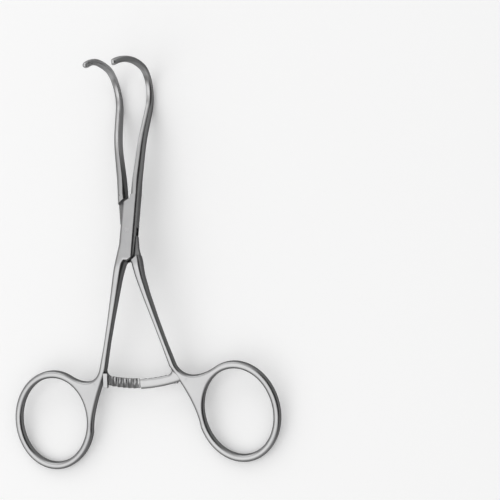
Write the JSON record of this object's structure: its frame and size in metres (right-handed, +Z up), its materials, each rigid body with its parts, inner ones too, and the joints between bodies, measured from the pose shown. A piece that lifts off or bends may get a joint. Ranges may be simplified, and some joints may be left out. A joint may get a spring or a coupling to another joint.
{
  "type": "neonatal clamp",
  "caption": "Small ring-handled surgical clamp with a box lock, meshing ratchet arms and long curved jaws whose serrated tips hook forward.",
  "frame": {"origin": "centre of the bounding box's underside, on the surface that the clamp lies on", "axes": "+Y towards the jaws, +Z up out of the front cheek of the lock, +X to the right as the jaws point away"},
  "size_m": [0.0936, 0.1352, 0.0331],
  "materials": {
    "box_half": "satin",
    "tongue_half": "satin",
    "lock_pin": "satin"
  },
  "bodies": {
    "root": {"box_half": "box_half", "lock_pin": "lock_pin"},
    "tongue_side": {"tongue_half": "tongue_half"}
  },
  "joints": [
    {"name": "box_lock", "type": "hinge", "parent": "root", "child": "tongue_side", "pos_m": [-0.00004, 0.01109, 0.01122], "axis": [0, 0.1249, 0.9922], "range_deg": [-9.2, 50]}
  ]
}
